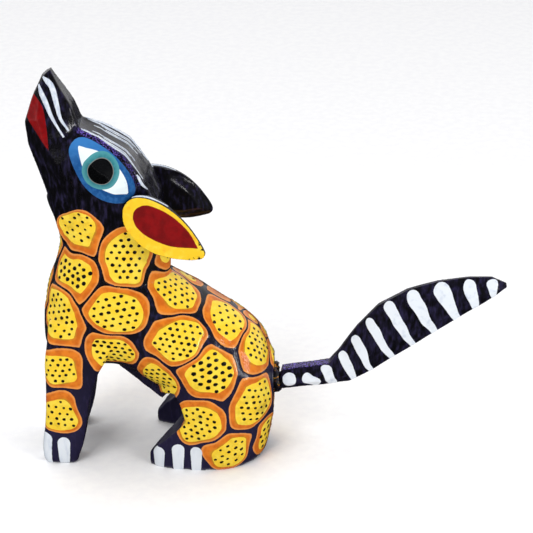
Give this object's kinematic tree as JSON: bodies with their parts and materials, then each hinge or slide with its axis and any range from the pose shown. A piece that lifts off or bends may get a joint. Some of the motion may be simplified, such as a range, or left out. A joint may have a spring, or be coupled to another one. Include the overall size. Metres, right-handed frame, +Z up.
{
  "type": "carved wooden coyote figure",
  "caption": "Sitting, howling coyote carved in wood and painted with dotted patches, with plug-in ears and a striped leaf-shaped tail on a dowel",
  "frame": {"origin": "on the ground, under the middle of the figure's length and width", "axes": "+Z up, the animal faces -X, its tail points +X and its left side is -Y"},
  "size_m": [0.1756, 0.0454, 0.1526],
  "materials": {
    "body_paint": "hand-painted acrylic under gloss varnish",
    "ear_paint": "hand-painted acrylic under gloss varnish",
    "tail_paint": "hand-painted acrylic under gloss varnish",
    "bare_wood": "whittled, unpainted"
  },
  "bodies": {
    "figure": {"carved_body": "body_paint"},
    "left_ear": {"ear_left": "ear_paint"},
    "right_ear": {"ear_right": "ear_paint"},
    "tail_dowel": {"tail_peg": "bare_wood"},
    "tail_leaf": {"tail": "tail_paint"}
  },
  "joints": [
    {"name": "tail_pull", "type": "slide", "parent": "figure", "child": "tail_dowel", "axis": [0.9877, 0, 0.1564], "range_m": [0, 0.016]},
    {"name": "tail_twist", "type": "hinge", "parent": "tail_dowel", "child": "tail_leaf", "pos_m": [0.0039, 0, 0.0294], "axis": [0.9877, 0, 0.1564], "continuous": true},
    {"name": "ear_left_pull", "type": "slide", "parent": "figure", "child": "left_ear", "axis": [-0.1989, -0.98, 0.0075], "range_m": [0, 0.008]},
    {"name": "ear_right_pull", "type": "slide", "parent": "figure", "child": "right_ear", "axis": [-0.1989, 0.98, 0.0075], "range_m": [0, 0.008]}
  ]
}
